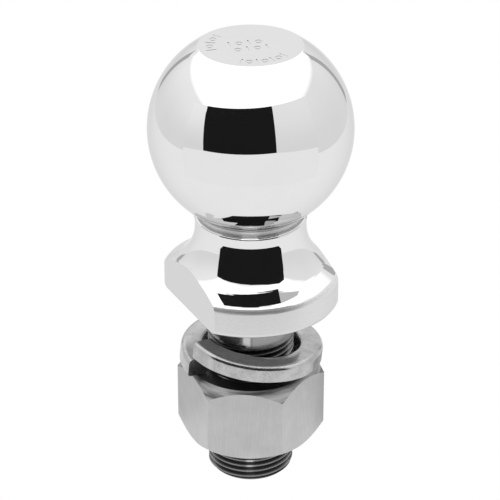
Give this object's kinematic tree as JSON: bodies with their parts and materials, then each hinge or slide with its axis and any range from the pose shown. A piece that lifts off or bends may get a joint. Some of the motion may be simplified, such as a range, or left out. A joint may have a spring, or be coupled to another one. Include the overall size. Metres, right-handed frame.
{
  "type": "trailer hitch ball",
  "caption": "Trailer hitch ball on a flanged neck with a threaded shank, a split lock washer and a hexagon nut that screws along the shank.",
  "frame": {"origin": "centre of the flange's flat underside, the face that rests on the drawbar, on the shank's axis", "axes": "+Z along the axis towards the ball; X across the flange's two wrench flats"},
  "size_m": [0.0588, 0.0588, 0.1364],
  "materials": {
    "chrome_plate": "polished chrome plate, turned on the flange's rim and on the shank",
    "washer_steel": "dull zinc plate",
    "nut_steel": "bright zinc plate over brushed steel"
  },
  "bodies": {
    "stud": {"ball_stud": "chrome_plate"},
    "washer": {"lock_washer": "washer_steel"},
    "nut": {"hex_nut": "nut_steel"}
  },
  "joints": [
    {"name": "washer_slide", "type": "slide", "parent": "stud", "child": "washer", "axis": [0, 0, 1], "range_m": [-0.036, 0.0085]},
    {"name": "nut_turn", "type": "hinge", "parent": "washer", "child": "nut", "pos_m": [0, 0, -0.0333], "axis": [0, 0, 1], "range_deg": [-7143, 1686]}
  ],
  "couplings": [
    {"joint": "washer_slide", "follows": "nut_turn", "m_per_rad": 0.00028875}
  ]
}
